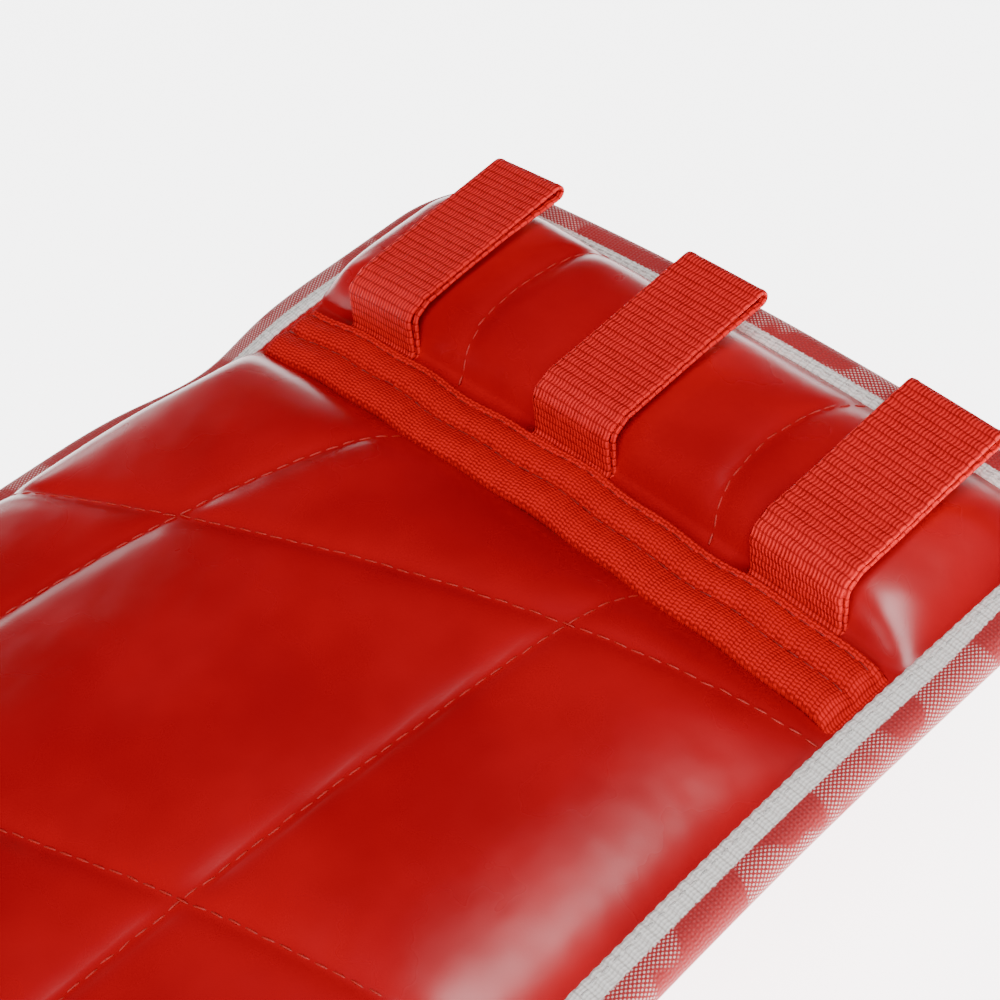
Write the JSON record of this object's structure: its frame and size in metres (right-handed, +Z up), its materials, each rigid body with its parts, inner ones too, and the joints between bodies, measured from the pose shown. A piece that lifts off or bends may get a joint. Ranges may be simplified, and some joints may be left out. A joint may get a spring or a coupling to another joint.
{
  "type": "thai pad",
  "caption": "Thin quilted strike pad with a folding end flap, webbing belt loops lying over it, bound edge, and forearm straps and a hand grip behind.",
  "frame": {"origin": "under the middle of the pad, on the surface that the forearm straps stand on", "axes": "+Z up out of the strike face, +Y towards the belt loops, +X towards the strap rings"},
  "size_m": [0.22, 0.4, 0.1162],
  "materials": {
    "face_vinyl": "smooth semi-gloss coated fabric, bright red",
    "back_vinyl": "smooth semi-gloss coated fabric, red",
    "red_webbing": "ribbed polypropylene webbing",
    "cross_strip": "soft herringbone webbing",
    "edge_tape": "woven edge tape, red field with white flecks and a white border",
    "soft_foam": "open-cell foam",
    "firm_foam": "closed-cell foam",
    "hook_and_loop": "hook-and-loop tape",
    "ring_steel": "nickel-plated wire"
  },
  "bodies": {
    "pad": {"main_face_cover": "face_vinyl", "main_back_cover": "back_vinyl", "main_soft_foam": "soft_foam", "arm_cushion_foam": "soft_foam", "main_firm_foam": "firm_foam", "main_edge_binding": "edge_tape", "lower_face_strip": "cross_strip", "lower_back_strip": "cross_strip", "arm_cushion_cover": "back_vinyl", "grip_patch_left": "back_vinyl", "grip_patch_right": "back_vinyl", "wrist_sewn_patch": "back_vinyl", "wrist_ring_patch": "back_vinyl", "wrist_strap": "red_webbing", "wrist_loop_tape": "hook_and_loop", "wrist_ring_tab": "red_webbing", "elbow_sewn_patch": "back_vinyl", "elbow_ring_patch": "back_vinyl", "elbow_strap": "red_webbing", "elbow_loop_tape": "hook_and_loop", "elbow_ring_tab": "red_webbing"},
    "flap": {"flap_face_cover": "face_vinyl", "flap_back_cover": "back_vinyl", "flap_soft_foam": "soft_foam", "flap_firm_foam": "firm_foam", "flap_edge_binding": "edge_tape", "upper_face_strip": "cross_strip", "upper_back_strip": "cross_strip", "belt_loop_left_root": "red_webbing", "belt_loop_middle_root": "red_webbing", "belt_loop_right_root": "red_webbing"},
    "grip": {"grip_hanger_left": "red_webbing", "grip_hanger_right": "red_webbing", "grip_sleeve": "back_vinyl", "grip_core": "firm_foam"},
    "wrist_ring": {"wrist_ring": "ring_steel"},
    "wrist_tab": {"wrist_closing_tab": "red_webbing", "wrist_hook_tape": "hook_and_loop"},
    "elbow_ring": {"elbow_ring": "ring_steel"},
    "elbow_tab": {"elbow_closing_tab": "red_webbing", "elbow_hook_tape": "hook_and_loop"},
    "loop_left": {"belt_loop_left": "red_webbing"},
    "loop_middle": {"belt_loop_middle": "red_webbing"},
    "loop_right": {"belt_loop_right": "red_webbing"}
  },
  "joints": [
    {"name": "flap_fold", "type": "hinge", "parent": "pad", "child": "flap", "pos_m": [0, 0.1255, 0.095], "axis": [1, 0, 0], "range_deg": [-30, 30], "stiffness_Nm_per_rad": 0.9},
    {"name": "grip_swing", "type": "hinge", "parent": "pad", "child": "grip", "pos_m": [0, 0.086, 0.0809], "axis": [1, 0, 0], "range_deg": [-32, 40]},
    {"name": "loop_left_lift", "type": "hinge", "parent": "flap", "child": "loop_left", "pos_m": [-0.067, 0.1369, 0.1028], "axis": [1, 0, 0], "range_deg": [0, 80]},
    {"name": "loop_middle_lift", "type": "hinge", "parent": "flap", "child": "loop_middle", "pos_m": [0, 0.1369, 0.1028], "axis": [1, 0, 0], "range_deg": [0, 80]},
    {"name": "loop_right_lift", "type": "hinge", "parent": "flap", "child": "loop_right", "pos_m": [0.067, 0.1369, 0.1028], "axis": [1, 0, 0], "range_deg": [0, 80]},
    {"name": "wrist_tab_open", "type": "hinge", "parent": "pad", "child": "wrist_tab", "pos_m": [0.067, 0.04, 0.059], "axis": [0, -1, 0], "range_deg": [0, 100]},
    {"name": "wrist_ring_swing", "type": "hinge", "parent": "pad", "child": "wrist_ring", "pos_m": [0.067, 0.04, 0.073], "axis": [0, 1, 0], "range_deg": [-8, 8]},
    {"name": "elbow_tab_open", "type": "hinge", "parent": "pad", "child": "elbow_tab", "pos_m": [0.067, -0.1, 0.059], "axis": [0, -1, 0], "range_deg": [0, 100]},
    {"name": "elbow_ring_swing", "type": "hinge", "parent": "pad", "child": "elbow_ring", "pos_m": [0.067, -0.1, 0.073], "axis": [0, 1, 0], "range_deg": [-8, 8]}
  ]
}
